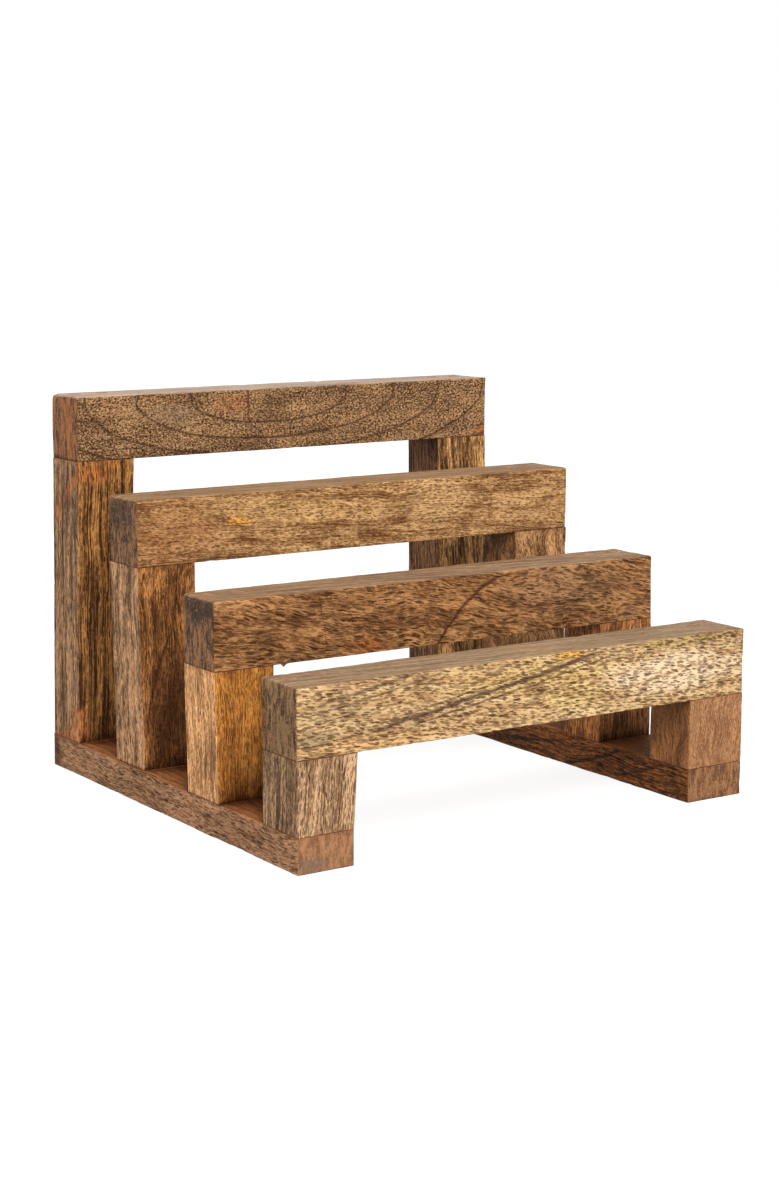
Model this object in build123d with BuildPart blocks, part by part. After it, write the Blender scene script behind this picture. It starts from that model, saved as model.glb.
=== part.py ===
"""Stepped wooden rack: four inverted-U frames of rising height on two base rails.

Millimetres. The origin is the middle of the footprint, on the surface that the rack stands on.
+X runs along the cross rails to the right, +Y runs from the low front frame to the tall rear
frame, and +Z is up.
"""

import os
from typing import NamedTuple

from build123d import *

os.makedirs("parts", exist_ok=True)

# Timber stock
frame_depth = 35.0
rail_height = 38.5
post_width_left = 37.5
base_thickness = 20.0
base_width_left = 35.0
base_width_right = 40.5

# Footprint: the outer faces of the two base rails, and the clear slots between the frames
base_outer_left = -152.5
base_outer_right = 151.0
slots = [47.0, 54.5, 48.0]
total_depth = 4 * frame_depth + sum(slots)

# Hand-sanded edges
rail_corner = 2.2
rail_top_round = 1.8
rail_underside_round = 0.5
post_corner = 1.4
base_corner = 2.2
base_underside_round = 1.8
base_top_round = 0.5

# Wood screws: two down through the rail and two up through the base rail at every post
screw_pitch = 18.0
screw_line_offset = 5.0
rail_screw_length = 60.0
base_screw_length = 45.0
screw_radius = 2.0
screw_core_radius = 1.4
screw_head_radius = 3.9
screw_head_height = 2.3
screw_head_rim = 0.4
screw_plain_share = 0.35
screw_thread_pitch = 2.6
screw_tip_length = 5.0
recess_length = 4.6
recess_width = 0.9
recess_depth = 1.6

# Drilled holes
clearance = 0.05
hole_radius = screw_radius + clearance
bore_radius = screw_head_radius + clearance
plug_depth = 8.0
base_recess = 1.0
hole_end_gap = 1.0


class Frame(NamedTuple):
    """One inverted U.

    It has a height, the outer X of its rail's ends and of its posts' feet, and its right post's width.
    """

    name: str
    top: float
    rail_left: float
    rail_right: float
    foot_left: float
    foot_right: float
    post_width_right: float


# The frames are made by hand: the rails differ in length by a few millimetres, the posts lean to
# follow them, and the right posts differ in width.
frames = [
    Frame("front", 99.0, -152.5, 151.5, -152.5, 151.0, 40.5),
    Frame("second", 131.5, -154.0, 150.5, -152.5, 151.0, 40.5),
    Frame("third", 176.5, -153.0, 154.0, -151.0, 153.5, 41.0),
    Frame("rear", 229.0, -148.5, 150.0, -152.0, 151.0, 39.0),
]


def middle(index):
    """Y of the middle of a frame's thickness."""
    return -total_depth / 2 + frame_depth * (index + 0.5) + sum(slots[:index])


def pair(centre_x, centre_y, height):
    """Two points a screw pitch apart along X."""
    return [
        (centre_x - screw_pitch / 2, centre_y, height),
        (centre_x + screw_pitch / 2, centre_y, height),
    ]


def upwards(points):
    """The same points as locations that drill upwards from an underside."""
    return [Location(point, (180, 0, 0)) for point in points]


def post_span(frame, side):
    """Foot centre X, foot width, top centre X and top width of one post."""
    if side == "left":
        foot_width, top_width = base_width_left, post_width_left
        foot_x = frame.foot_left + foot_width / 2
        top_x = frame.rail_left + top_width / 2
    else:
        foot_width = top_width = frame.post_width_right
        foot_x = frame.foot_right - foot_width / 2
        top_x = frame.rail_right - top_width / 2
    return foot_x, foot_width, top_x, top_width


def wood_screw(length):
    """A countersunk cross-head screw, head up, with the head's top face at the origin."""
    plain_end = -length * screw_plain_share
    thread_end = -length + screw_tip_length
    turns = int((plain_end - thread_end) / screw_thread_pitch)
    profile = [
        (0, 0),
        (screw_head_radius, 0),
        (screw_head_radius, -screw_head_rim),
        (screw_radius, -screw_head_height),
        (screw_radius, plain_end),
    ]
    for turn in range(turns):
        root = plain_end - turn * screw_thread_pitch
        profile.append((screw_core_radius, root - 0.2 * screw_thread_pitch))
        profile.append((screw_core_radius, root - 0.6 * screw_thread_pitch))
        profile.append((screw_radius, root - 0.8 * screw_thread_pitch))
    profile.append((screw_core_radius, thread_end))
    profile.append((0, -length))
    with BuildPart() as screw:
        with BuildSketch(Plane.XZ):
            with BuildLine():
                Polyline(*profile, close=True)
            make_face()
        revolve(axis=Axis.Z)
        with BuildSketch(Plane.XY):
            Rectangle(recess_length, recess_width)
            Rectangle(recess_width, recess_length)
        extrude(amount=-recess_depth, mode=Mode.SUBTRACT)
    return screw.part


def save(part, name):
    """Labels a finished piece and writes its STEP file."""
    part.label = name
    export_step(part, f"parts/{name}.step")


# Base rails, with countersunk holes drilled up from below for the post screws
base_screw_places = {}
base_spans = {
    "left": (base_outer_left, base_width_left),
    "right": (base_outer_right - base_width_right, base_width_right),
}
for side, (low_x, width) in base_spans.items():
    base_x = low_x + width / 2
    places = []
    for index, frame in enumerate(frames):
        foot_x = post_span(frame, side)[0]
        places += pair(foot_x, middle(index) - screw_line_offset, 0)
    base_screw_places[side] = places
    with BuildPart() as base_rail:
        with BuildSketch(Plane((base_x, 0, 0))):
            RectangleRounded(width, total_depth, base_corner)
        extrude(amount=base_thickness)
        fillet(base_rail.faces().sort_by(Axis.Z)[0].edges(), base_underside_round)
        fillet(base_rail.faces().sort_by(Axis.Z)[-1].edges(), base_top_round)
        with Locations(*upwards(places)):
            Hole(bore_radius, base_recess + screw_head_rim)
        with Locations(*upwards([(x, y, base_recess + screw_head_rim) for x, y, z in places])):
            CounterSinkHole(hole_radius, bore_radius, base_thickness, 90)
    save(base_rail.part, f"base_rail_{side}")

# Posts, with pilot holes for the rail screws above and the base screws below
rail_screw_reach = plug_depth + rail_screw_length - rail_height + hole_end_gap
base_screw_reach = base_recess + base_screw_length - base_thickness + hole_end_gap
for index, frame in enumerate(frames):
    for side in ("left", "right"):
        foot_x, foot_width, top_x, top_width = post_span(frame, side)
        underside = frame.top - rail_height
        from_above = pair(top_x, middle(index) + screw_line_offset, underside)
        from_below = pair(foot_x, middle(index) - screw_line_offset, base_thickness)
        with BuildPart() as post:
            with BuildSketch(Plane((foot_x, middle(index), base_thickness))):
                RectangleRounded(foot_width, frame_depth, post_corner)
            with BuildSketch(Plane((top_x, middle(index), underside))):
                RectangleRounded(top_width, frame_depth, post_corner)
            loft()
            with Locations(*from_above):
                Hole(hole_radius, rail_screw_reach)
            with Locations(*upwards(from_below)):
                Hole(hole_radius, base_screw_reach)
        save(post.part, f"post_{frame.name}_{side}")

# Cross rails, with the screw holes bored deep enough to be filled over
for index, frame in enumerate(frames):
    rail_length = frame.rail_right - frame.rail_left
    rail_x = (frame.rail_right + frame.rail_left) / 2
    screw_y = middle(index) + screw_line_offset
    places = []
    for side in ("left", "right"):
        places += pair(post_span(frame, side)[2], screw_y, frame.top)
    with BuildPart() as cross_rail:
        with BuildSketch(Plane((rail_x, middle(index), frame.top - rail_height))):
            RectangleRounded(rail_length, frame_depth, rail_corner)
        extrude(amount=rail_height)
        fillet(cross_rail.faces().sort_by(Axis.Z)[-1].edges(), rail_top_round)
        fillet(cross_rail.faces().sort_by(Axis.Z)[0].edges(), rail_underside_round)
        with Locations(*places):
            Hole(bore_radius, plug_depth + screw_head_rim)
        with Locations(*[(x, y, z - plug_depth - screw_head_rim) for x, y, z in places]):
            CounterSinkHole(hole_radius, bore_radius, rail_height, 90)
    save(cross_rail.part, f"cross_rail_{frame.name}")

    # Four screws and the four plugs of wood filler that hide their heads
    long_screw = wood_screw(rail_screw_length)
    with BuildPart() as rail_screws:
        with Locations(*[(x, y, z - plug_depth) for x, y, z in places]):
            add(long_screw)
    save(rail_screws.part, f"rail_screws_{frame.name}")

    with BuildPart() as plugs:
        with BuildSketch(Plane((0, 0, frame.top - plug_depth))):
            with Locations(*[(x, y) for x, y, z in places]):
                Circle(screw_head_radius)
        extrude(amount=plug_depth)
    save(plugs.part, f"filler_plugs_{frame.name}")

# Screws up through the base rails
short_screw = wood_screw(base_screw_length)
for side, places in base_screw_places.items():
    with BuildPart() as base_screws:
        with Locations(*upwards([(x, y, base_recess) for x, y, z in places])):
            add(short_screw)
    save(base_screws.part, f"base_screws_{side}")
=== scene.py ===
"""Looks for the stepped wooden rack: worn hand-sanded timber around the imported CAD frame.

Lengths are metres, as in the frame, except in the wood patterns and the wear, which are thought of in
millimetres. Each timber piece is rebuilt as a mesh with worn arrises on the box that its CAD node fills,
and carries its own grain coordinates, so that one wood recipe can be set differently for every piece.
"""

import math
import random

import bmesh
import bpy
import numpy as np
from mathutils import Matrix, Vector


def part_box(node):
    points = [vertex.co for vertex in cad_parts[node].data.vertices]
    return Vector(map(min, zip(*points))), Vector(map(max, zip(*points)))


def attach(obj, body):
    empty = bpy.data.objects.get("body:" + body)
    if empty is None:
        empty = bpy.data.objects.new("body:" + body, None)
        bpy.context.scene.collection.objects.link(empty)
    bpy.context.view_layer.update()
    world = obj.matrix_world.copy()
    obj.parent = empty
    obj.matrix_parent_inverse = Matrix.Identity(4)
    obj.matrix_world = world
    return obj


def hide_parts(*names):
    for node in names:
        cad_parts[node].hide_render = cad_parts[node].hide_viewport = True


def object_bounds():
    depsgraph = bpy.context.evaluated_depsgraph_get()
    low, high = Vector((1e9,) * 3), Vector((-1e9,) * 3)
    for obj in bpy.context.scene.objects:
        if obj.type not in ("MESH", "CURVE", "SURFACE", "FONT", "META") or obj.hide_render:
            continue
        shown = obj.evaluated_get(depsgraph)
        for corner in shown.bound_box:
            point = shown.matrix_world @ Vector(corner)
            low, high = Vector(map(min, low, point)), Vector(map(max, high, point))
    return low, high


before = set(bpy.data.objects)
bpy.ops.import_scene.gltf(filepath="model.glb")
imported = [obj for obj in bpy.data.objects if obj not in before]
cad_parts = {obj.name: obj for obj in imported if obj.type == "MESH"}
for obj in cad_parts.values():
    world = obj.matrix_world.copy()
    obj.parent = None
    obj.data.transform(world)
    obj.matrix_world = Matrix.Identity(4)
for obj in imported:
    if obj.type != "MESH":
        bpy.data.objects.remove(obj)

MM = 0.001
FRAMES = ["front", "second", "third", "rear"]
SIDES = ["left", "right"]
ACROSS, BACKWARDS, UPRIGHT = range(3)  # the axis that a piece's fibres run along
SAME_HEIGHT = 0.02
cad_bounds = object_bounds()


# --- Timber as the frame gives it ---------------------------------------------------------------

def span_at(node, height):
    """Lowest and highest X of a node's vertices at a height, all in millimetres."""
    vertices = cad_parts[node].data.vertices
    xs = [v.co.x for v in vertices if abs(v.co.z - height * MM) < SAME_HEIGHT * MM]
    return [min(xs) / MM, max(xs) / MM]


def rail(name):
    return f"cross_rail_{name}"


def post(name, side):
    return f"post_{name}_{side}"


def base(side):
    return f"base_rail_{side}"


class Bar:
    """A straight timber piece: a box whose low and high X may shift from its foot to its top."""

    def __init__(self, node, along):
        self.node = node
        self.along = along
        self.low, self.high = (np.array(corner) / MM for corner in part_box(node))
        self.foot = self.top = [self.low[0], self.high[0]]
        if along == UPRIGHT:
            self.foot = span_at(node, self.low[2])
            self.top = span_at(node, self.high[2])
        self.size = self.high - self.low
        self.size[0] = max(self.foot[1] - self.foot[0], self.top[1] - self.top[0])

    def place(self, points):
        """Box coordinates, from zero to size, to the row frame in millimetres."""
        rise = points[:, 2] / self.size[2]
        left = self.foot[0] + (self.top[0] - self.foot[0]) * rise
        right = self.foot[1] + (self.top[1] - self.foot[1]) * rise
        placed = points + self.low
        placed[:, 0] = left + (right - left) * points[:, 0] / self.size[0]
        return placed


# --- Worn box meshes ----------------------------------------------------------------------------

# Grid lines near an edge, by their distance from it, and the grid's step over the faces
EDGE_STATIONS = [0.0, 0.25, 0.6, 1.0, 1.5, 2.2]
FACE_STEP = 1.8
WAVE_COUNT, WAVE_SPREAD, WAVE_PEAK = 7, (0.5, 1.3), 3.0

# How unevenly the arrises are worn: (wavelength, share of the radius)
LONG_WEAR, SHORT_WEAR = (45.0, 0.35), (11.0, 0.15)
LEAST_WEAR, MOST_WEAR = 0.3, 2.0

# How far the faces are worn in: (wavelength, depth)
HOLLOW, RIPPLE = (34.0, 0.12), (9.0, 0.04)

# Knocks: how many there are, their radius and depth, and how many of them are on a long arris
KNOCKS_AT_LEAST, KNOCK_SPACING = 6, 14
KNOCK_RADIUS, KNOCK_DEPTH = (0.9, 2.6), (0.12, 0.45)
ARRIS_SHARE = 0.7


def stations(length):
    """Grid lines across one side: close together over the rounded edges and even between them."""
    count = max(2, round((length - 2 * EDGE_STATIONS[-1]) / FACE_STEP))
    middle = np.linspace(EDGE_STATIONS[-1], length - EDGE_STATIONS[-1], count + 1)
    edge = np.array(EDGE_STATIONS[:-1])
    return np.concatenate([edge, middle, (length - edge)[::-1]])


def box_grid(size):
    """The surface of a box: shared points, quads, and each quad's face as (axis, low or high side)."""
    lines = [stations(length) for length in size]
    shape = [len(line) for line in lines]
    index = -np.ones(shape, int)
    inside = np.zeros(shape, bool)
    inside[1:-1, 1:-1, 1:-1] = True
    index[~inside] = np.arange((~inside).sum())
    where = np.argwhere(~inside)
    points = np.stack([lines[axis][where[:, axis]] for axis in range(3)], axis=1)
    quads, faces = [], []
    for axis in range(3):
        for side in (0, 1):
            sheet = np.take(index, -side, axis=axis)
            if (side == 0) != (axis == 1):
                sheet = sheet.T
            corners = [sheet[:-1, :-1], sheet[1:, :-1], sheet[1:, 1:], sheet[:-1, 1:]]
            quads.append(np.stack([c.ravel() for c in corners], axis=1))
            faces += [(axis, side)] * len(quads[-1])
    return points, np.concatenate(quads), faces


def wobble(points, wavelength, seed):
    """Smooth noise of about -1 to 1 at each point: a handful of waves in random directions."""
    pick = np.random.default_rng(seed)
    total = np.zeros(len(points))
    for _ in range(WAVE_COUNT):
        heading = pick.normal(size=3)
        heading *= math.tau / wavelength * pick.uniform(*WAVE_SPREAD) / np.linalg.norm(heading)
        total += np.sin(points @ heading + pick.uniform(0, math.tau))
    return total / WAVE_PEAK


def round_edges(points, size, radius, seed):
    """Rounds the twelve edges. radius(pair, sides) is an edge's own radius, which wear then varies."""
    wear = 1.0 + LONG_WEAR[1] * wobble(points, LONG_WEAR[0], seed)
    wear = np.clip(wear + SHORT_WEAR[1] * wobble(points, SHORT_WEAR[0], seed + 1), LEAST_WEAR, MOST_WEAR)
    for pair in ((0, 1), (1, 2), (0, 2)):
        for sides in ((0, 0), (0, 1), (1, 0), (1, 1)):
            reach = np.zeros((len(points), 2))
            edge_radius = radius(pair, sides) * wear
            for k, (axis, side) in enumerate(zip(pair, sides)):
                depth = size[axis] - points[:, axis] if side else points[:, axis]
                reach[:, k] = np.maximum(edge_radius - depth, 0.0)
            far = np.hypot(reach[:, 0], reach[:, 1])
            outside = (far > edge_radius) & (reach.min(axis=1) > 0)
            scale = np.where(outside, edge_radius / np.maximum(far, 1e-9), 1.0)
            for k, (axis, side) in enumerate(zip(pair, sides)):
                moved = (edge_radius - reach[:, k] * scale)[outside]
                points[outside, axis] = size[axis] - moved if side else moved
    return points


def write_mesh(name, points, faces):
    """A mesh from points in millimetres."""
    mesh = bpy.data.meshes.new(name)
    mesh.from_pydata((points * MM).tolist(), [], faces.tolist())
    mesh.update()
    return mesh


def vertex_arrays(mesh):
    """Positions in millimetres and normals of all vertices."""
    co = np.zeros(len(mesh.vertices) * 3)
    no = np.zeros(len(mesh.vertices) * 3)
    mesh.vertices.foreach_get("co", co)
    mesh.vertices.foreach_get("normal", no)
    return co.reshape(-1, 3) / MM, no.reshape(-1, 3)


def move_vertices(mesh, points):
    """Puts a mesh's vertices at points in millimetres."""
    mesh.vertices.foreach_set("co", (points * MM).ravel())
    mesh.update()


def dent(points, normals, bar, seed):
    """Small knocks and bruises, most of them on the arrises, pressed in along the surface normal."""
    pick = random.Random(seed)
    count = int(KNOCKS_AT_LEAST + bar.size[bar.along] / KNOCK_SPACING)
    for _ in range(count):
        knock = np.array([pick.uniform(0, 1) * extent for extent in bar.size])
        axes = [axis for axis in range(3) if axis != bar.along]
        for axis in axes if pick.random() < ARRIS_SHARE else [pick.choice(axes)]:
            knock[axis] = pick.choice([0.0, bar.size[axis]])
        centre = bar.place(knock[None, :])[0]
        radius = pick.uniform(*KNOCK_RADIUS)
        depth = pick.uniform(*KNOCK_DEPTH)
        distance = np.linalg.norm(points - centre, axis=1)
        points -= normals * (depth * np.exp(-((distance / radius) ** 2)))[:, None]
    return points


# Torn splinters that hang from a piece's front lower arris: how far along it, and how far they drop
BURRS = {"cross_rail_second": (44.0, 2.4)}
BURR_INSET = 0.5
BURR_REACH = (0.9, 1.2, 1.2)


def burr(points, bar):
    """Draws the arris down into the piece's splinter."""
    along, drop = BURRS[bar.node]
    away = (points - bar.low - np.array([along, BURR_INSET, 0.0])) / np.array(BURR_REACH)
    points[:, 2] -= drop * np.exp(-(away**2).sum(axis=1))
    return points


# --- What a piece's surface carries for its material --------------------------------------------

# Rays that look for the rack's other bars, to say where shade is painted: how many, how far they start out
# and how far bars count
RAY_COUNT = 40
RAY_START = 0.6
RAY_SPREAD = 1.02
OCCLUSION_REACH = 75.0

# Flat coordinates of the sawn ends, kept far from those of the long faces
END_SHIFT = 500.0

# How far worn arrises and glue reach, and how far past a post's sides glue shows on the rail above it
ARRIS_REACH = 1.3
GLUE_REACH = 2.2
POST_FOOT_REACH = 3.2
GLUE_MARGIN = 1


def store(mesh, name, values, domain="POINT"):
    """Writes one number or one vector for each vertex or face corner."""
    values = np.asarray(values, np.float32)
    kind, key = ("FLOAT", "value") if values.ndim == 1 else ("FLOAT_VECTOR", "vector")
    attribute = mesh.attributes.new(name, kind, domain)
    attribute.data.foreach_set(key, values.ravel())


def grain_order(along):
    """The axes of the grain coordinates: along the fibres, across, and in from the shown face."""
    return {ACROSS: (0, 2, 1), BACKWARDS: (1, 2, 0), UPRIGHT: (2, 0, 1)}[along]


def skin_corners(bar, local, quads, faces):
    """Flat coordinates of each quad's corners: along the grain, and round the piece's girth.

    The girth starts where the shown face starts and its one seam is on the hidden arris. The two ends
    have their own flat coordinates, far from the others'.
    """
    order = grain_order(bar.along)
    wide, thick = bar.size[order[1]], bar.size[order[2]]
    rows = []
    for quad, (axis, side) in zip(quads, faces):
        along, across, depth = local[quad][:, order].T
        if axis == order[0]:
            ends = [across + END_SHIFT * (1 + side), depth + END_SHIFT, 0 * along]
            rows.append(np.stack(ends, axis=1))
            continue
        if axis == order[2]:
            girth = 2 * wide + thick - across if side else across
        else:
            girth = wide + depth if side else -depth
        rows.append(np.stack([along, girth, 0 * along], axis=1))
    return np.concatenate(rows)


def occlusion(placed, normals):
    """How far the rack's own bars close in on each point: zero in the open and one if shut in. The wood is
    darkened by it as painted shade.
    """
    pick = np.random.default_rng(4)
    closed = np.zeros(len(placed))
    start = placed + normals * RAY_START
    for _ in range(RAY_COUNT):
        heading = pick.normal(size=3)
        heading = normals * RAY_SPREAD + heading / np.linalg.norm(heading)
        heading /= np.linalg.norm(heading, axis=1)[:, None]
        nearest = np.full(len(placed), np.inf)
        for low, high in WOOD_BOXES:
            with np.errstate(divide="ignore", invalid="ignore"):
                first, second = (low - start) / heading, (high - start) / heading
            enter = np.minimum(first, second).max(axis=1)
            leave = np.maximum(first, second).min(axis=1)
            met = (leave > enter) & (enter > 0)
            nearest[met] = np.minimum(nearest[met], enter[met])
        closed += 1.0 / (1.0 + (nearest / OCCLUSION_REACH) ** 2)
    return closed / RAY_COUNT


def timber(bar, radius, seams, material, seed, bores=()):
    """A worn timber piece that stands for its CAD node. seams(points) says how near each is to glue."""
    points, quads, faces = box_grid(bar.size)
    skin = skin_corners(bar, points, quads, faces)
    points = round_edges(points, bar.size, radius, seed)
    mesh = write_mesh(bar.node, bar.place(points), quads)
    store(mesh, "skin", skin, "CORNER")
    placed, normals = vertex_arrays(mesh)
    hollow = 0.5 + 0.5 * np.clip(wobble(placed, HOLLOW[0], seed + 2), -1, 1)
    ripple = 0.5 + 0.5 * np.clip(wobble(placed, RIPPLE[0], seed + 3), -1, 1)
    placed -= normals * (HOLLOW[1] * hollow + RIPPLE[1] * ripple)[:, None]
    placed = dent(placed, normals, bar, seed)
    if bar.node in BURRS:
        placed = burr(placed, bar)
    move_vertices(mesh, placed)
    piece = bpy.data.objects.new(f"{bar.node}_timber", mesh)
    bpy.context.scene.collection.objects.link(piece)
    if bores:
        drill(piece, bores)
        mesh = piece.data
    placed, normals = vertex_arrays(mesh)
    order = grain_order(bar.along)
    store(mesh, "grain", (placed - bar.low)[:, order])
    store(mesh, "outward", normals)
    # How closed in each point is, which sets where shade is painted
    store(mesh, "occlusion", occlusion(placed, normals))
    store(mesh, "seam", seams(placed))
    store(mesh, "arris", arris(placed, bar))
    for polygon in mesh.polygons:
        polygon.use_smooth = True
    mesh.materials.clear()
    mesh.materials.append(material)
    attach(piece, "root")
    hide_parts(bar.node)


def arris(placed, bar):
    """One on the long and end edges, fading over about two millimetres."""
    depth = np.minimum(placed - bar.low, bar.high - placed)
    second = np.sort(depth, axis=1)[:, 1]
    return np.exp(-np.maximum(second, 0) / ARRIS_REACH)


# A countersunk hole from its mouth up: (radius below, radius above, bottom, top) of each step
BORE_STEPS = [(3.95, 3.95, -1.0, 1.4), (3.95, 2.05, 1.4, 3.3), (2.05, 2.05, 3.3, 12.0)]
BORE_SEGMENTS = 32
BORE_OVERLAP = 0.01


def drill(piece, bores):
    """Cuts countersunk screw holes up into a piece. Each bore is the middle of its mouth."""
    cutter = bmesh.new()
    for place in bores:
        for radius_low, radius_high, bottom, top in BORE_STEPS:
            middle = place + Vector((0, 0, (bottom + top) / 2)) * MM
            bmesh.ops.create_cone(
                cutter, cap_ends=True, segments=BORE_SEGMENTS,
                radius1=radius_low * MM, radius2=radius_high * MM,
                depth=(top - bottom + BORE_OVERLAP) * MM, matrix=Matrix.Translation(middle),
            )
    mesh = bpy.data.meshes.new("bore")
    cutter.to_mesh(mesh)
    cutter.free()
    tool = bpy.data.objects.new("bore", mesh)
    bpy.context.scene.collection.objects.link(tool)
    cut = piece.modifiers.new("bores", "BOOLEAN")
    cut.operation = "DIFFERENCE"
    cut.solver = "EXACT"
    cut.use_self = True
    cut.object = tool
    bpy.context.view_layer.update()
    result = bpy.data.meshes.new_from_object(piece.evaluated_get(bpy.context.evaluated_depsgraph_get()))
    piece.modifiers.clear()
    piece.data = result
    bpy.data.objects.remove(tool)


# --- Node recipes -------------------------------------------------------------------------------

def paint(red, green, blue):
    """An 8-bit display colour as the linear colour that shaders take."""
    linear = [c / 255 / 12.92 if c <= 10 else ((c / 255 + 0.055) / 1.055) ** 2.4 for c in (red, green, blue)]
    return (*linear, 1.0)


class Graph:
    """A material's node tree, built by short calls that each return an output socket."""

    def __init__(self, name):
        self.material = bpy.data.materials.new(name)
        self.material.use_nodes = True
        self.tree = self.material.node_tree
        self.tree.nodes.clear()

    def node(self, kind, inputs=None, **settings):
        made = self.tree.nodes.new(kind)
        for key, value in settings.items():
            setattr(made, key, value)
        for key, value in (inputs or {}).items():
            if isinstance(value, bpy.types.NodeSocket):
                self.tree.links.new(value, made.inputs[key])
            else:
                made.inputs[key].default_value = value
        return made

    def math(self, operation, first, second=0.0, third=0.0):
        """The third number only matters to MULTIPLY_ADD."""
        inputs = {0: first, 1: second, 2: third}
        return self.node("ShaderNodeMath", inputs, operation=operation).outputs[0]

    def vector(self, operation, first, second):
        return self.node("ShaderNodeVectorMath", {0: first, 1: second}, operation=operation).outputs[0]

    def attribute(self, name, output):
        return self.node("ShaderNodeAttribute", attribute_name=name).outputs[output]

    def step(self, value, low, high):
        """Zero below low and one above high, with a smooth ramp between, or the reverse if high is less."""
        inputs = {0: value, 1: low, 2: high, 3: 0.0, 4: 1.0}
        return self.node("ShaderNodeMapRange", inputs, interpolation_type="SMOOTHSTEP").outputs[0]

    def span(self, value, low, high):
        """Maps zero to one onto low to high."""
        return self.node("ShaderNodeMapRange", {0: value, 1: 0.0, 2: 1.0, 3: low, 4: high}).outputs[0]

    def noise(self, where, scale, detail=2.0, roughness=0.5, distortion=0.0, output=0):
        """Soft noise of 0 to 1. The scale is its number of waves over one unit, for each axis."""
        inputs = {"Vector": self.vector("MULTIPLY", where, scale), "Scale": 1.0}
        inputs.update({"Detail": detail, "Roughness": roughness, "Distortion": distortion})
        return self.node("ShaderNodeTexNoise", inputs, noise_dimensions="3D").outputs[output]

    def cells(self, where):
        """Flat Voronoi cells of about one unit."""
        inputs = {"Vector": where, "Scale": 1.0, "Randomness": 1.0}
        return self.node("ShaderNodeTexVoronoi", inputs, voronoi_dimensions="2D", feature="F1")

    def blend(self, share, first, second, mode="MIX"):
        """The first colour, with a share of the second mixed in."""
        made = self.node("ShaderNodeMix", {0: share, 6: first, 7: second}, data_type="RGBA", blend_type=mode)
        return made.outputs[2]

    def split(self, vector):
        return self.node("ShaderNodeSeparateXYZ", {0: vector}).outputs

    def join(self, x, y, z):
        return self.node("ShaderNodeCombineXYZ", {0: x, 1: y, 2: z}).outputs[0]

    def finish(self, colour, roughness, height, distance, **values):
        """The shader itself. values are numbers for its own sockets."""
        bump = self.node("ShaderNodeBump", {"Height": height, "Distance": distance, "Strength": 1.0})
        inputs = {"Base Color": colour, "Roughness": roughness, "Normal": bump.outputs[0], **values}
        shader = self.node("ShaderNodeBsdfPrincipled", inputs)
        output = self.node("ShaderNodeOutputMaterial")
        self.tree.links.new(shader.outputs[0], output.inputs[0])
        return self.material


# --- Mango wood ---------------------------------------------------------------------------------

# Layers of open pores: length and spacing of a pore's cell, its reach in the cell, share, strength
PORES = [(9.5, 1.35, 0.35, 0.8, 0.95), (5.6, 1.0, 0.34, 0.8, 0.8), (3.2, 0.8, 0.35, 0.7, 0.5)]
BROAD_PORES = [(10.0, 1.5, 0.35, 0.85, 0.95), (7.0, 1.2, 0.34, 0.8, 0.9), (4.4, 0.9, 0.35, 0.75, 0.7)]
FRONT_PORES = [(7.8, 1.7, 0.33, 0.8, 0.95), (6.6, 1.5, 0.32, 0.8, 0.9), (4.6, 1.2, 0.33, 0.8, 0.85)]
REAR_PORES = [(2.4, 1.3, 0.42, 0.6, 0.75), (1.7, 1.0, 0.42, 0.6, 0.65)]
SHORT_PORES = [(5.0, 1.3, 0.36, 0.85, 0.8), (3.4, 1.0, 0.36, 0.8, 0.75), (2.2, 0.8, 0.36, 0.7, 0.5)]

# What a look says unless it says otherwise: colours, the run of the fibres, pores, contrasts, wear, the
# painted sheen on faces that look up and the painted shade in recesses
PLAIN = dict(
    pale=(172, 128, 84), mid=(100, 63, 34), dark=(60, 34, 17), pore=(44, 20, 8),
    end_pale=(128, 92, 64), end_dark=(52, 35, 23), end_speck=(164, 116, 76), end_marks=(),
    top_sheen_pale=(136, 106, 76), top_sheen_dark=(84, 60, 42), top_sheen_strength=0.85,
    slope=0.0, wave=0.8, wave_length=60.0, ruffle=1.0,
    pores=PORES, pore_scale=1.0, pore_strength=1.0, crowd=1.0, fibre=2.2, fibre_run=22.0, band=1.2,
    mottle=0.6, grit=1.0, grit_scale=(0.6, 1.4, 1.0), burn=0.3,
    ring_strength=0.0, ring_gap=10.0, ring_shift=0.0, ring_at=(150.0, 60.0), ring_stretch=2.0,
    marks=(), veins=(), sides=(), filler=0.2, recess_shade=0.85,
)

SEAM_FILLER = (140, 84, 44)
# The colour of the painted shade that is multiplied into the wood where the bars close in
RECESS_SHADE = (84, 42, 16)

# Sizes of the patterns, as waves over one millimetre along, across and into the wood
FIBRE_ACROSS = 1 / 0.9
BAND_SCALE = (1 / 90, 1 / 4, 1.0)
CLOUD_SCALE = (1 / 36, 1 / 14, 1 / 14)
MOTTLE_SCALE = (1 / 13, 1 / 9, 1 / 9)
DRIFT_SCALE = (1 / 30, 1 / 14, 1 / 14)
TOP_SHEEN_SCALE = (1 / 80, 1 / 2.6, 1.0)
PORE_RAG_SCALE = (0.5, 1.0, 1.0)
END_STREAK_SCALE = (0.3, 0.08, 0.3)
END_CRUMB_SCALE = (0.8, 0.4, 0.9)
SMEAR_SCALE = (0.16, 0.16, 0.16)

DEPTH_SHEAR = 0.9  # fibres that leave the face this much further along for each millimetre in
THIN_VEIN = 3.0  # veins narrower than this are solid lines
BUMP_DEPTH = 0.25
GLOSS = 0.06


def about(graph, noise, swing, level):
    """A noise's swing about its middle, added to a level."""
    return graph.math("MULTIPLY_ADD", graph.math("SUBTRACT", noise, 0.5), swing, level)


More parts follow.
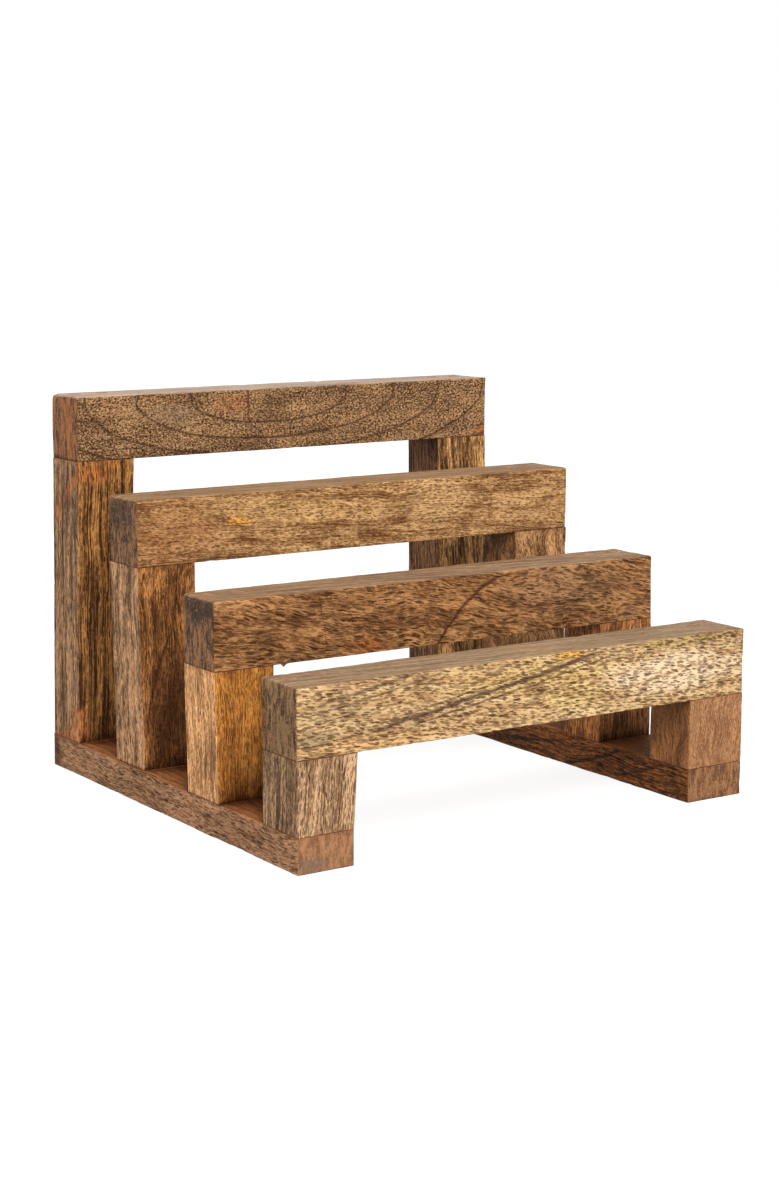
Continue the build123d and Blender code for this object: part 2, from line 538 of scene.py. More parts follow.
def flow_of(graph, look, grain):
    """How far the fibres are lifted across the grain at each place: sloped, waved and ruffled."""
    shifted = graph.vector("ADD", grain, (look["seed"] * 37.0, look["seed"] * 11.0, look["seed"] * 23.0))
    drift = graph.noise(shifted, DRIFT_SCALE, 2.0, 0.5)
    along, across, _ = graph.split(grain)
    angle = graph.math("MULTIPLY_ADD", along, math.tau / look["wave_length"], look["seed"] * 1.7)
    angle = graph.math("MULTIPLY_ADD", across, 0.06, angle)
    lift = graph.math("MULTIPLY", graph.math("SINE", angle), look["wave"])
    lift = graph.math("MULTIPLY_ADD", along, -look["slope"], lift)
    return about(graph, drift, look["ruffle"] * 6.0, lift)


def pore_layer(graph, skin, layer, scale, crowding, seed):
    """Open pores cut lengthwise: short dark dashes along the fibres, closer together where they crowd."""
    length, gap, size, share, strength = layer
    ragged = graph.noise(skin, PORE_RAG_SCALE, 2.0, 0.7, output="Color")
    ragged = graph.vector("SUBTRACT", ragged, (0.5, 0.5, 0.5))
    ragged = graph.vector("MULTIPLY", ragged, (length * 0.3, gap * 0.7, 0.0))
    where = graph.vector("ADD", skin, ragged)
    where = graph.vector("MULTIPLY", where, (1 / (length * scale), 1 / (gap * scale), 0.0))
    where = graph.vector("ADD", where, (seed * 5.0, seed * 9.0, 0.0))
    cells = graph.cells(where)
    size_draw, share_draw, depth_draw = graph.split(cells.outputs["Color"])
    reach = graph.span(size_draw, size * 0.65, size * 1.35)
    mask = graph.step(graph.math("DIVIDE", cells.outputs["Distance"], reach), 1.1, 0.65)
    here = graph.step(graph.math("ADD", share_draw, crowding), 0.97 - share, 1.03 - share)
    depth = graph.span(depth_draw, 0.4 * strength, strength)
    return graph.math("MULTIPLY", graph.math("MULTIPLY", mask, here), depth)


def all_pores(graph, look, skin, cloud, upward):
    """Every layer of pores, fainter on faces that look up, where the painted sheen lies over them."""
    crowding = graph.math("MULTIPLY", graph.math("SUBTRACT", cloud, 0.5), look["crowd"])
    quiet = graph.span(upward, 1.0, 0.4)
    pores = None
    for number, layer in enumerate(look["pores"]):
        mask = pore_layer(graph, skin, layer, look["pore_scale"], crowding, look["seed"] + 5 * number)
        pores = graph.math("MAXIMUM", pores, mask) if pores else mask
    return graph.math("MULTIPLY", graph.math("MULTIPLY", pores, quiet), look["pore_strength"])


def spot(graph, place, middle, reach, fuzz):
    """A soft oval mask at a place in flat coordinates, with a ragged rim."""
    offset = graph.vector("SUBTRACT", place, (*middle, 0.0))
    scaled = graph.vector("MULTIPLY", offset, (1 / reach[0], 1 / reach[1], 0.0))
    distance = graph.node("ShaderNodeVectorMath", {0: scaled}, operation="LENGTH").outputs["Value"]
    return graph.step(graph.math("ADD", distance, fuzz), 1.2, 0.5)


def vein(graph, grain, start, end, sag, width, fuzz):
    """A soft line from start to end in grain coordinates, sagging between them."""
    along, across, _ = graph.split(grain)
    inputs = {0: along, 1: start[0], 2: end[0], 3: 0.0, 4: 1.0}
    share = graph.node("ShaderNodeMapRange", inputs).outputs[0]
    dip = graph.math("MULTIPLY", share, graph.math("SUBTRACT", 1.0, share))
    dip = graph.math("MULTIPLY", dip, 4 * sag)
    line = graph.math("MULTIPLY_ADD", share, end[1] - start[1], start[1])
    line = graph.math("SUBTRACT", line, dip)
    away = graph.math("ABSOLUTE", graph.math("ADD", graph.math("SUBTRACT", across, line), fuzz))
    mask = graph.step(away, width, width * 0.1)
    fade = graph.math("MULTIPLY", graph.step(share, 0.0, 0.12), graph.step(share, 1.0, 0.88))
    return graph.math("MULTIPLY", mask, fade)


def rings(graph, look, grain, cloud, grit):
    """Growth rings cut as flat arches: a thin dark line along the rim of each, with a faint halo."""
    along, across, _ = graph.split(grain)
    stretch = look["ring_stretch"]
    away = graph.math("DIVIDE", graph.math("SUBTRACT", along, look["ring_at"][0]), stretch)
    height = graph.math("SUBTRACT", across, look["ring_at"][1])
    rise = graph.math("MULTIPLY", height, height)
    reach = graph.math("SQRT", graph.math("MULTIPLY_ADD", away, away, rise))
    lean = graph.math("DIVIDE", away, stretch)
    steepness = graph.math("SQRT", graph.math("MULTIPLY_ADD", lean, lean, rise))
    steepness = graph.math("DIVIDE", steepness, graph.math("MAXIMUM", reach, 1.0))
    reach = graph.math("ADD", reach, look["ring_shift"])
    reach = about(graph, grit, 0.8, about(graph, cloud, 2.4, reach))
    turn = graph.math("FRACT", graph.math("DIVIDE", reach, look["ring_gap"]))
    from_rim = graph.math("ABSOLUTE", graph.math("SUBTRACT", turn, 0.5))
    from_rim = graph.math("MULTIPLY", from_rim, look["ring_gap"])
    from_rim = graph.math("DIVIDE", from_rim, graph.math("MAXIMUM", steepness, 0.2))
    halo = graph.math("MULTIPLY", graph.step(from_rim, 3.0, 0.0), 0.22)
    line = graph.math("MAXIMUM", graph.step(from_rim, 0.9, 0.35), halo)
    return graph.math("MULTIPLY", line, graph.step(reach, 18.0, 21.0))


def end_grain(graph, look, plain_grain, fuzz):
    """The sawn ends: grey-brown streaks across the thickness, crumbs of light wood, and smudges."""
    seed = look["seed"]
    moved = graph.vector("ADD", plain_grain, (0.0, seed * 13.0, seed * 7.0))
    streak = graph.noise(moved, END_STREAK_SCALE, 4.0, 0.75, 0.6)
    crumb = graph.noise(moved, END_CRUMB_SCALE, 3.0, 0.7)
    tone = about(graph, streak, 4.6, about(graph, crumb, 2.4, 0.5))
    colour = graph.blend(graph.step(tone, 0.0, 1.0), paint(*look["end_pale"]), paint(*look["end_dark"]))
    _, across, depth = graph.split(plain_grain)
    place = graph.join(across, depth, 0.0)
    for middle, reach, mark_tone, strength in look["end_marks"]:
        mask = graph.math("MULTIPLY", spot(graph, place, middle, reach, fuzz), strength)
        colour = graph.blend(mask, colour, paint(*mark_tone))
    speck = graph.math("MULTIPLY", graph.step(crumb, 0.58, 0.66), 0.75)
    return graph.blend(speck, colour, paint(*look["end_speck"]))


def side_tones_and_shade(graph, look, colour, share, outward):
    """Sides of a piece that are lighter, darker or greyer than the face it shows: partly the wood's own tone,
    and painted shade on the inner faces under the rack.
    """
    for axis, side_tone, strength in look["sides"]:
        facing = graph.math("MULTIPLY", outward[abs(axis) - 1], math.copysign(1.0, axis))
        mask = graph.math("MULTIPLY", graph.step(facing, 0.55, 0.8), strength)
        light, deep = (tuple(c * scale for c in side_tone) for scale in (1.3, 0.56))
        side_colour = graph.blend(share, paint(*light), paint(*deep))
        colour = graph.blend(mask, colour, side_colour)
    return colour


def marks_and_veins(graph, look, colour, grain, fibre, cloud, grit):
    """The coloured patches and the dark lines that a look names."""
    for middle, reach, mark_tone, strength in look["marks"]:
        rim = about(graph, fibre, 1.4, about(graph, cloud, 1.6, 0.0))
        mask = graph.math("MULTIPLY", spot(graph, grain, middle, reach, rim), strength)
        colour = graph.blend(mask, colour, paint(*mark_tone))
    for start, end, sag, width, vein_tone, strength in look["veins"]:
        stray = about(graph, grit, width * 0.6, about(graph, cloud, 4.0, 0.0))
        solid = 0.95 if width < THIN_VEIN else 0.5
        broken = graph.math("MULTIPLY_ADD", graph.step(fibre, 0.38, 0.58), 1.0 - solid, solid)
        mask = graph.math("MULTIPLY", vein(graph, grain, start, end, sag, width, stray), broken)
        colour = graph.blend(graph.math("MULTIPLY", mask, strength), colour, paint(*vein_tone))
    return colour


def paint_top_sheen(graph, look, colour, skin, fibre, upward):
    """Painted sheen: a pale, streaky tone on faces that look up, in place of the reflection and light that
    fall on the tops.
    """
    streak = graph.noise(skin, TOP_SHEEN_SCALE, 4.0, 0.7)
    top_sheen_tone = graph.step(about(graph, fibre, 2.4, about(graph, streak, 5.0, 0.5)), -0.3, 1.3)
    top_sheen = graph.blend(top_sheen_tone, paint(*look["top_sheen_pale"]), paint(*look["top_sheen_dark"]))
    return graph.blend(graph.math("MULTIPLY", upward, look["top_sheen_strength"]), colour, top_sheen)


def wear_glue_and_shade(graph, look, colour, plain_grain, cloud):
    """Darkened arrises, filler and a dark glue line at the seams, and painted shade in the inner corners
    where the bars close in.
    """
    arris_wear = graph.math("MULTIPLY", graph.attribute("arris", "Fac"), graph.step(cloud, 0.4, 0.65))
    colour = graph.blend(graph.math("MULTIPLY", arris_wear, 0.4), colour, paint(*look["dark"]))
    seam = graph.attribute("seam", "Fac")
    ragged = graph.noise(plain_grain, SMEAR_SCALE, 3.0, 0.6)
    smear = graph.step(about(graph, ragged, 2.2, seam), 0.72, 0.95)
    smear = graph.math("MULTIPLY", graph.math("MULTIPLY", smear, graph.step(seam, 0.02, 0.2)), look["filler"])
    colour = graph.blend(smear, colour, paint(*SEAM_FILLER))
    glue_line = graph.math("MULTIPLY", graph.step(seam, 0.88, 0.99), 0.6)
    colour = graph.blend(glue_line, colour, paint(*look["dark"]))
    # Painted shade: the wood is darkened where the rack's bars close in on it
    closed = graph.step(about(graph, cloud, 0.5, graph.attribute("occlusion", "Fac")), 0.05, 0.75)
    recess_shade = graph.math("MULTIPLY", closed, look["recess_shade"])
    return graph.blend(recess_shade, colour, paint(*RECESS_SHADE), "MULTIPLY")


def mango(name, **changes):
    """Antiqued mango wood. The look says how one piece's grain runs and how it is coloured."""
    look = {**PLAIN, **changes}
    graph = Graph(name)
    seed = look["seed"]
    plain_grain = graph.attribute("grain", "Vector")
    depth = graph.split(plain_grain)[2]
    shear = graph.join(graph.math("MULTIPLY", depth, DEPTH_SHEAR), 0.0, 0.0)
    grain = graph.vector("ADD", plain_grain, shear)
    lift = flow_of(graph, look, grain)
    skin = graph.vector("ADD", graph.attribute("skin", "Vector"), graph.join(0.0, lift, 0.0))
    skin = graph.vector("ADD", skin, (seed * 61.0, 0.0, seed * 3.0))
    bent = graph.vector("ADD", grain, graph.join(seed * 41.0, lift, seed * 17.0))
    outward = graph.split(graph.attribute("outward", "Vector"))
    upward = graph.step(outward[2], 0.4, 0.9)

    fibre = graph.noise(skin, (1 / look["fibre_run"], FIBRE_ACROSS, 1.0), 3.0, 0.65)
    band = graph.noise(skin, BAND_SCALE, 2.0, 0.5)
    cloud = graph.noise(bent, CLOUD_SCALE, 3.0, 0.6)
    mottle = graph.noise(bent, MOTTLE_SCALE, 3.0, 0.55)
    grit = graph.noise(skin, look["grit_scale"], 2.0, 0.6)

    tone = about(graph, fibre, look["fibre"], about(graph, band, look["band"], 0.45))
    tone = about(graph, mottle, look["mottle"], about(graph, cloud, look["mottle"], tone))
    share = graph.step(about(graph, grit, look["grit"], tone), 0.0, 1.0)
    colour = graph.blend(share, paint(*look["pale"]), paint(*look["mid"]))
    # The sides' own tones, with painted shade on the inner faces under the rack
    colour = side_tones_and_shade(graph, look, colour, share, outward)
    burnt = graph.step(about(graph, fibre, 0.6, cloud), 0.5, 0.74)
    colour = graph.blend(graph.math("MULTIPLY", burnt, look["burn"]), colour, paint(*look["dark"]))
    if look["ring_strength"]:
        rim = graph.math("MULTIPLY", rings(graph, look, grain, cloud, grit), graph.span(fibre, 0.5, 1.0))
        late_wood = graph.math("MULTIPLY", rim, look["ring_strength"])
        colour = graph.blend(late_wood, colour, paint(*look["dark"]))
    colour = marks_and_veins(graph, look, colour, grain, fibre, cloud, grit)
    # Painted sheen: a pale streaky tone over the faces that look up
    colour = paint_top_sheen(graph, look, colour, skin, fibre, upward)
    pores = all_pores(graph, look, skin, cloud, upward)
    colour = graph.blend(pores, colour, paint(*look["pore"]))

    end_axis = grain_order(look["along"])[0]
    ends = graph.step(graph.math("ABSOLUTE", outward[end_axis]), 0.6, 0.85)
    colour = graph.blend(ends, colour, end_grain(graph, look, plain_grain, about(graph, cloud, 1.6, 0.0)))
    # Painted shade in the recesses, with the worn arrises and the glue
    colour = wear_glue_and_shade(graph, look, colour, plain_grain, cloud)

    roughness = graph.math("MULTIPLY_ADD", pores, 0.2, graph.span(fibre, 0.5, 0.7))
    height = graph.math("MULTIPLY_ADD", pores, -1.0, graph.math("MULTIPLY", fibre, 0.35))
    height = graph.math("MULTIPLY_ADD", grit, 0.3, height)
    return graph.finish(colour, roughness, height, BUMP_DEPTH * MM, **{"Specular IOR Level": GLOSS})


# A look is one piece's own grain and colours. Marks are (middle, reach, tone, strength) and veins are
# (start, end, sag, width, tone, strength), placed along and across the grain in millimetres. Sides are
# (axis, tone, strength): the faces that look along that axis, or against it if it is negative.
# On the right posts and the right base rail the sides against X are the inner faces under the rack, and their
# darker tones there are painted shade.
CREAM, UMBER, PLUM, EMBER = (202, 180, 148), (58, 34, 18), (76, 58, 50), (156, 92, 46)

LOOKS = {
    "cross_rail_rear": dict(
        seed=3, pale=(158, 120, 82), mid=(54, 34, 20), dark=(50, 27, 13), pore=(38, 20, 10),
        end_pale=(138, 92, 58), end_dark=(62, 42, 28), top_sheen_pale=(176, 154, 138), top_sheen_dark=(128, 106, 90),
        pores=REAR_PORES, grit=4.2, grit_scale=(0.75, 0.95, 1.0), fibre=0.6, band=0.6, mottle=0.5, burn=0.15,
        ring_strength=0.95, ring_gap=10.0, ring_shift=8.7, ring_at=(133.0, 34.0), ring_stretch=3.5,
        wave=0.3, ruffle=0.6, end_marks=[((20.0, 12.0), (30.0, 4.0), EMBER, 0.45)],
        marks=[
            ((106.0, 30.0), (14.0, 6.0), (150, 92, 54), 0.35),
            ((294.0, 4.0), (6.0, 3.5), EMBER, 0.6),
            ((117.0, 32.0), (1.0, 15.0), (92, 44, 18), 0.8),
            ((136.0, 26.0), (10.0, 12.0), (80, 54, 34), 0.3),
            ((66.0, 26.0), (18.0, 7.0), (124, 104, 80), 0.35),
        ],
    ),
    "cross_rail_third": dict(
        seed=8, pale=(182, 142, 94), mid=(106, 66, 32), dark=(84, 50, 24), pore=(60, 27, 10),
        end_dark=(48, 34, 24), top_sheen_pale=(146, 118, 88), top_sheen_dark=(86, 62, 42), pores=SHORT_PORES,
        slope=-0.05, wave=0.6, wave_length=90.0, ruffle=0.8, mottle=0.8,
        end_speck=(158, 116, 86), end_marks=[((30.0, 20.0), (10.0, 20.0), (52, 40, 32), 0.7)],
        marks=[
            ((112.0, 24.0), (40.0, 10.0), (190, 152, 98), 0.4),
            ((24.0, 18.0), (30.0, 22.0), (140, 92, 56), 0.5),
            ((66.0, 22.0), (9.0, 2.6), (200, 140, 56), 0.75),
            ((205.0, 24.0), (40.0, 14.0), (196, 160, 108), 0.35),
        ],
        veins=[
            ((160.0, 6.0), (206.0, 36.0), 2.0, 3.2, (110, 70, 40), 0.45),
            ((206.0, 4.0), (262.0, 36.0), 2.0, 3.2, (110, 70, 40), 0.45),
            ((256.0, 2.0), (306.0, 30.0), 2.0, 3.2, (110, 70, 40), 0.45),
        ],
    ),
    "cross_rail_second": dict(
        seed=5, pale=(164, 118, 74), mid=(104, 66, 36), dark=(58, 33, 17), pore=(44, 20, 7), fibre=1.8,
        pores=BROAD_PORES, wave=1.6, wave_length=120.0, ruffle=1.3, slope=-0.16, crowd=1.6, mottle=0.9,
        top_sheen_pale=(150, 122, 94), top_sheen_dark=(84, 60, 42),
        end_speck=(168, 122, 84), end_marks=[((32.0, 18.0), (9.0, 20.0), (46, 36, 30), 0.8)],
        marks=[
            ((100.0, 5.0), (15.0, 6.0), (184, 112, 58), 0.45),
            ((52.0, 24.0), (8.0, 6.0), UMBER, 0.5),
            ((288.0, 5.0), (6.0, 4.0), (92, 76, 62), 0.4),
            ((240.0, 24.0), (50.0, 16.0), (128, 98, 72), 0.4),
        ],
        veins=[
            ((66.0, 40.0), (72.0, 4.0), 0.0, 2.4, UMBER, 0.7),
            ((141.0, -6.0), (190.0, 36.0), -7.0, 2.6, (74, 42, 20), 0.95),
            ((182.0, 34.5), (212.0, 35.5), -1.0, 1.2, (74, 42, 20), 0.6),
            ((236.0, 15.0), (243.0, -4.0), 0.0, 1.6, (70, 40, 20), 0.7),
            ((214.0, 17.0), (256.0, 17.0), 1.0, 1.6, (70, 40, 20), 0.6),
        ],
    ),
    "cross_rail_front": dict(
        seed=11, pale=(190, 160, 116), mid=(146, 108, 68), dark=(96, 68, 44), pore=(62, 34, 18), fibre=1.8,
        end_pale=(130, 98, 66), end_dark=(56, 40, 28), end_speck=(158, 122, 84),
        top_sheen_pale=(142, 116, 90), top_sheen_dark=(86, 68, 52), slope=-0.1, wave=0.5, wave_length=110.0,
        pores=FRONT_PORES, ruffle=0.7,
        end_marks=[
            ((12.0, 14.0), (8.0, 10.0), (66, 58, 42), 0.3),
            ((7.0, 26.0), (3.0, 4.0), (140, 90, 58), 0.25),
        ],
        marks=[
            ((176.0, 36.5), (10.0, 3.0), (206, 148, 50), 0.75),
            ((262.0, 36.0), (46.0, 4.0), (146, 124, 70), 0.5),
            ((36.0, 4.0), (40.0, 5.0), (192, 150, 98), 0.5),
            ((12.0, 10.0), (14.0, 5.0), (108, 92, 66), 0.55),
            ((30.0, 22.0), (24.0, 8.0), (150, 126, 92), 0.4),
            ((250.0, 18.0), (56.0, 12.0), CREAM, 0.7),
            ((150.0, 27.0), (60.0, 8.0), (184, 156, 86), 0.35),
            ((178.0, 14.0), (30.0, 8.0), (194, 170, 100), 0.35),
        ],
        veins=[
            ((38.0, 9.0), (206.0, 37.5), 1.0, 2.0, PLUM, 0.95),
            ((60.0, 9.0), (214.0, 35.0), 1.5, 1.0, PLUM, 0.8),
            ((30.0, 10.0), (190.0, 37.5), 0.0, 0.9, PLUM, 0.6),
            ((8.0, 27.0), (78.0, 39.0), 0.5, 1.6, PLUM, 0.7),
            ((4.0, 22.0), (96.0, 38.0), 1.0, 1.0, PLUM, 0.6),
            ((120.0, 8.0), (236.0, 26.0), 1.0, 1.2, (150, 106, 66), 0.5),
            ((190.0, 10.0), (300.0, 27.0), 1.0, 1.4, (160, 112, 70), 0.5),
        ],
    ),
    "base_rail_left": dict(
        seed=21, pale=(158, 116, 82), mid=(108, 74, 48), dark=(60, 38, 24), pore=(50, 28, 17),
        top_sheen_pale=(160, 98, 54), top_sheen_dark=(88, 52, 28), top_sheen_strength=0.9, end_pale=(142, 100, 70),
        end_dark=(106, 72, 48), end_speck=(170, 124, 84),
        end_marks=[((5.0, 8.0), (5.0, 9.0), (96, 80, 66), 0.7)], filler=0.3,
        marks=[
            ((288.0, 10.0), (10.0, 14.0), UMBER, 0.8),
        ],
    ),
    # This rail's side against X faces in under the rack, and its darker tone there is painted shade
    "base_rail_right": dict(
        seed=27, pale=(140, 92, 54), mid=(84, 50, 28), dark=(38, 20, 9), pore=(28, 13, 5), fibre_run=40.0,
        top_sheen_pale=(148, 92, 50), top_sheen_dark=(84, 52, 30), top_sheen_strength=0.9, end_pale=(130, 92, 62),
        end_dark=(82, 54, 34), recess_shade=0.7, sides=[(-1, (96, 56, 26), 0.9)], filler=0.3, fibre=3.4, burn=0.7,
        veins=[
            ((60.0, 20.0), (120.0, 0.0), 2.0, 2.0, (30, 16, 8), 0.8),
            ((20.0, 20.0), (70.0, 2.0), 1.0, 2.0, (30, 16, 8), 0.7),
            ((110.0, 16.0), (190.0, 4.0), 1.0, 2.0, (30, 16, 8), 0.7),
        ],
    ),
    "post_front_left": dict(
        seed=31, pale=(178, 142, 106), mid=(112, 80, 52), slope=0.08, fibre_run=60.0, ruffle=0.5, wave=0.4,
        pore_scale=0.8, band=2.0, sides=[(-1, (122, 94, 68), 0.8)],
    ),
    "post_front_right": dict(
        seed=32, pale=(160, 116, 80), mid=(110, 72, 46), pore=(80, 44, 24), pores=SHORT_PORES, pore_scale=0.8,
        pore_strength=0.8, wave=1.2, wave_length=24.0, ruffle=1.4, sides=[(-1, (108, 70, 38), 0.8)],
    ),
    "post_second_left": dict(
        seed=33, pale=(196, 132, 62), mid=(124, 74, 28), pore=(84, 42, 14), pore_strength=0.9, fibre_run=30.0,
        pore_scale=0.7, ruffle=0.6, sides=[(-1, (184, 140, 98), 0.75)], recess_shade=0.95,
    ),
    "post_second_right": dict(
        seed=34, pale=(176, 118, 70), mid=(92, 55, 27), fibre_run=50.0, sides=[(-1, (140, 88, 46), 0.8)],
    ),
    "post_third_left": dict(
        seed=35, pale=(166, 112, 62), mid=(84, 49, 22), mottle=1.2, fibre_run=50.0, wave=0.8, ruffle=0.8,
        pore_scale=0.8, sides=[(-1, (154, 118, 86), 0.8)],
        marks=[
            ((40.0, 20.0), (34.0, 15.0), (78, 44, 20), 0.6),
            ((84.0, 12.0), (14.0, 4.0), (52, 30, 16), 0.6),
        ],
        veins=[
            ((18.0, 4.0), (84.0, 24.0), 4.0, 1.4, UMBER, 0.8),
        ],
    ),
    "post_third_right": dict(
        seed=36, pale=(172, 128, 84), mid=(96, 62, 34), mottle=1.2, wave=1.4, wave_length=26.0, ruffle=1.8,
        pores=SHORT_PORES, sides=[(-1, (110, 74, 44), 0.8)],
    ),
    "post_rear_left": dict(
        seed=37, pale=(170, 118, 64), mid=(54, 30, 12), fibre=3.4, fibre_run=90.0, band=2.4, filler=0.8,
        wave=0.3, ruffle=0.4, sides=[(-1, (128, 98, 70), 0.85)],
        marks=[
            ((9.0, 0.0), (18.0, 6.0), (172, 104, 60), 0.6),
            ((166.0, 0.0), (9.0, 4.0), (150, 90, 54), 0.6),
            ((163.0, 14.0), (8.0, 14.0), (168, 100, 52), 0.6),
        ],
        veins=[
            ((0.0, 8.0), (120.0, 12.0), 0.0, 5.0, (40, 23, 13), 0.7),
        ],
    ),
    "post_rear_right": dict(
        seed=38, pale=(190, 142, 88), mid=(70, 41, 20), fibre=3.4, fibre_run=40.0, band=2.0, ruffle=0.5,
        sides=[(-1, (92, 62, 42), 0.85)],
    ),
}
FIBRES_RUN = {"cross": ACROSS, "base": BACKWARDS, "post": UPRIGHT}
for node, look in LOOKS.items():
    look["along"] = FIBRES_RUN[node.split("_")[0]]


# --- The pieces ---------------------------------------------------------------------------------

# Radii of the arrises before wear
CRISP = 0.4
RAIL_RADII = {(0, 1): 1.7, (1, 2): 1.3, (0, 2): 2.8}
POST_CORNER, POST_END = 1.0, 0.15
BASE_EDGE = 1.0

# Seeds of the wear of each kind of piece
RAIL_SEED, POST_SEED, BASE_SEED = 50, 60, 80

# Two parts of the screws' mesh whose middles are closer than this are one screw
SAME_SCREW = 4.0


def rail_radius(pair, sides):
    """Rails: crisp along the underside, eased along the top, and well rounded off at the ends."""
    if 2 in pair and sides[pair.index(2)] == 0:
        return CRISP
    return RAIL_RADII[pair]


def post_radius(pair, sides):
    """Posts: eased up the corners and square at both ends."""
    return POST_END if 2 in pair else POST_CORNER


def base_radius(pair, sides):
    """Base rails: well rounded below and round their ends, and crisp on top under the posts."""
    above = 2 in pair and sides[pair.index(2)] == 1
    return CRISP if above else BASE_EDGE


def nearness(distance, reach=GLUE_REACH):
    """One at a glued seam, fading with the distance from it."""
    return np.exp(-np.abs(distance) / reach)


def rail_seams(name):
    """Glue shows along the rail's underside above each post."""
    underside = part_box(rail(name))[0].z / MM
    spans = [span_at(post(name, side), underside) for side in SIDES]

    def seams(points):
        over = np.zeros(len(points))
        for low, high in spans:
            x = points[:, 0]
            over = np.maximum(over, (x > low - GLUE_MARGIN) & (x < high + GLUE_MARGIN))
        return nearness(points[:, 2] - underside) * over

    return seams


def post_seams(name, side):
    """Glue shows at both ends of a post."""
    low, high = (corner.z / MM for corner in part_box(post(name, side)))

    def seams(points):
        foot = nearness(points[:, 2] - low, POST_FOOT_REACH)
        return np.maximum(foot, nearness(points[:, 2] - high))

    return seams


def base_seams(side):
    """Glue shows on the base rail's top, round the foot of each post."""
    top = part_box(base(side))[1].z / MM
    feet = [[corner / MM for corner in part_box(post(name, side))] for name in FRAMES]

    def seams(points):
        near = np.zeros(len(points))
        for low, high in feet:
            outside = np.maximum(np.maximum(low[1] - points[:, 1], points[:, 1] - high[1]), 0)
            near = np.maximum(near, nearness(np.hypot(outside, points[:, 2] - top)))
        return near

    return seams


def islands(mesh):
    """The points of each connected part of a mesh."""
    seen, parts = set(), []
    for start in mesh.verts:
        if start in seen:
            continue
        part, queue = [], [start]
        seen.add(start)
        while queue:
            vert = queue.pop()
            part.append(vert.co.copy())
            for edge in vert.link_edges:
                other = edge.other_vert(vert)
                if other not in seen:
                    seen.add(other)
                    queue.append(other)
        parts.append(part)
    return parts


def screw_mouths(side):
    """Middles of the screw holes in a base rail's underside, one for each screw that stands in them."""
    mesh = bmesh.new()
    mesh.from_mesh(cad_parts[f"base_screws_{side}"].data)
    places = []
    for part in islands(mesh):
        xs, ys, zs = zip(*part)
        middle = Vector(((min(xs) + max(xs)) / 2, (min(ys) + max(ys)) / 2, 0.0))
        upright = max(zs) > min(zs)
        if upright and all((middle - place).length > SAME_SCREW * MM for place in places):
            places.append(middle)
    mesh.free()
    return places


WOOD_BOXES = [
    tuple(np.array(corner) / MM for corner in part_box(node))
    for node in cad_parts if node.startswith(("base_rail", "post", "cross_rail"))
]
woods = {node: mango(f"mango_{node}", **look) for node, look in LOOKS.items()}

for number, name in enumerate(FRAMES):
    bar = Bar(rail(name), ACROSS)
    timber(bar, rail_radius, rail_seams(name), woods[bar.node], RAIL_SEED + number)
    for right, side in enumerate(SIDES):
        bar = Bar(post(name, side), UPRIGHT)
        timber(bar, post_radius, post_seams(name, side), woods[bar.node], POST_SEED + 2 * number + right)
for right, side in enumerate(SIDES):
    bar = Bar(base(side), BACKWARDS)
    timber(bar, base_radius, base_seams(side), woods[bar.node], BASE_SEED + right, screw_mouths(side))


# --- Screws and filler --------------------------------------------------------------------------

def zinc():
    """Zinc-plated steel with fine scratches and a yellowish cast."""
    graph = Graph("zinc_plate")
    where = graph.node("ShaderNodeTexCoord").outputs["Object"]
    cloud = graph.noise(where, (400, 400, 400), 3.0, 0.6)
    scratch = graph.noise(where, (3000, 700, 700), 2.0, 0.6)
    colour = graph.blend(cloud, paint(196, 192, 180), paint(150, 142, 122))
    roughness = graph.span(scratch, 0.28, 0.5)
    return graph.finish(colour, roughness, scratch, 0.02 * MM, Metallic=1.0)


def filler():
    """Wood filler, sanded flush: matt, slightly darker than the wood, with a few fibres dragged over it."""
    graph = Graph("wood_filler")
    where = graph.node("ShaderNodeTexCoord").outputs["Object"]
    drag = graph.noise(where, (120, 900, 900), 3.0, 0.6)
    cloud = graph.noise(where, (260, 260, 260), 3.0, 0.6)
    colour = graph.blend(drag, paint(128, 88, 60), paint(104, 72, 50))
    colour = graph.blend(graph.step(cloud, 0.5, 0.7), colour, paint(150, 110, 78))
    return graph.finish(colour, graph.span(cloud, 0.55, 0.75), cloud, 0.08 * MM)


zinc_plate, wood_filler = zinc(), filler()
for node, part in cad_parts.items():
    if "screws" in node or "plugs" in node:
        part.data.materials.clear()
        part.data.materials.append(zinc_plate if "screws" in node else wood_filler)


# --- Floor, light and camera --------------------------------------------------------------------

FLOOR_SIZE, FLOOR_GLOW = 6.0, 0.86
FLOOR_GAP = 0.02  # millimetres below the rack's feet
LAMP_PLACE, LAMP_AIM = (-1.2, -3.2, 3.4), (0, 0, 0.1)
LAMP_WIDTH, LAMP_POWER = 1.6, 300.0
WHITE = (1, 1, 1, 1)


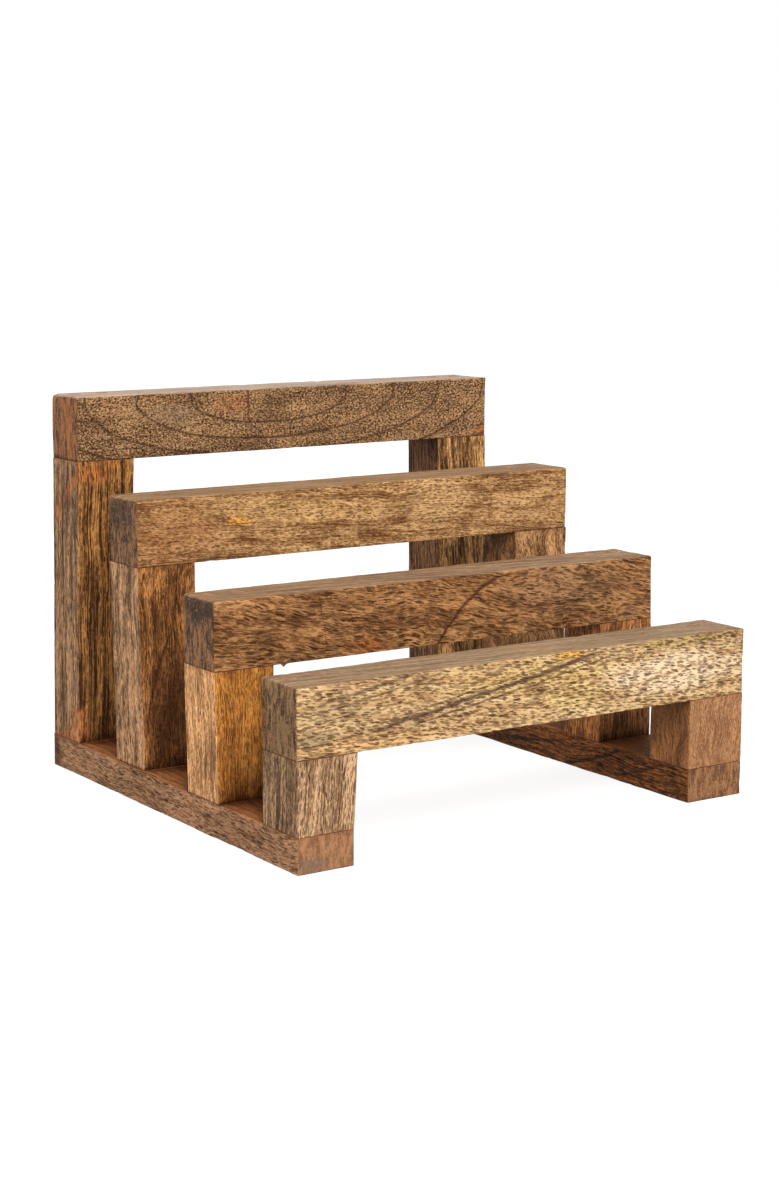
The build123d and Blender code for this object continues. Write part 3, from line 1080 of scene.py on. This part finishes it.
def pale_floor():
    """A plain pale floor that glows enough to burn out to white."""
    sweep = bmesh.new()
    bmesh.ops.create_grid(sweep, x_segments=2, y_segments=2, size=FLOOR_SIZE)
    mesh = bpy.data.meshes.new("floor")
    sweep.to_mesh(mesh)
    sweep.free()
    floor = bpy.data.objects.new("floor", mesh)
    floor.location.z = cad_bounds[0][2] - FLOOR_GAP * MM
    bpy.context.scene.collection.objects.link(floor)
    graph = Graph("pale_floor")
    where = graph.node("ShaderNodeTexCoord").outputs["Object"]
    cloud = graph.noise(where, (3, 3, 3))
    colour = graph.blend(cloud, paint(108, 108, 107), paint(102, 102, 101))
    glow = {"Emission Color": WHITE, "Emission Strength": FLOOR_GLOW}
    mesh.materials.append(graph.finish(colour, 0.8, cloud, 0.01 * MM, **glow))


def light():
    """A soft white surround, and one broad lamp high at the front."""
    scene = bpy.context.scene
    world = bpy.data.worlds.new("surround")
    scene.world = world
    world.use_nodes = True
    background = world.node_tree.nodes["Background"]
    background.inputs["Color"].default_value = WHITE
    background.inputs["Strength"].default_value = 1.0
    lamp = bpy.data.lights.new("softbox_front", "AREA")
    lamp.shape = "SQUARE"
    lamp.size = LAMP_WIDTH
    lamp.energy = LAMP_POWER
    holder = bpy.data.objects.new("softbox_front", lamp)
    holder.location = LAMP_PLACE
    holder.rotation_euler = (Vector(LAMP_AIM) - Vector(LAMP_PLACE)).to_track_quat("-Z", "Y").to_euler()
    scene.collection.objects.link(holder)
    scene.view_settings.view_transform = "Standard"


# Where the fit to the photo puts the camera: place, and degrees down, rolled and turned to the right
CAMERA_PLACE = (-0.72927, -1.09968, 0.33451)
CAMERA_DOWN = 9.642
CAMERA_ROLL = -0.042
CAMERA_TURN = 33.576
CAMERA_LENS = 67.749
SENSOR = 36.0


def camera():
    """The product shot's viewpoint: from the front left, a little above the rack's top."""
    data = bpy.data.cameras.new("camera")
    data.sensor_width = SENSOR
    data.lens = CAMERA_LENS
    holder = bpy.data.objects.new("camera", data)
    turn = Matrix.Rotation(-math.radians(CAMERA_TURN), 4, "Z")
    down = Matrix.Rotation(math.radians(90 - CAMERA_DOWN), 4, "X")
    roll = Matrix.Rotation(math.radians(CAMERA_ROLL), 4, "Z")
    holder.matrix_world = Matrix.Translation(CAMERA_PLACE) @ turn @ down @ roll
    bpy.context.scene.collection.objects.link(holder)
    bpy.context.scene.camera = holder


pale_floor()
light()
camera()
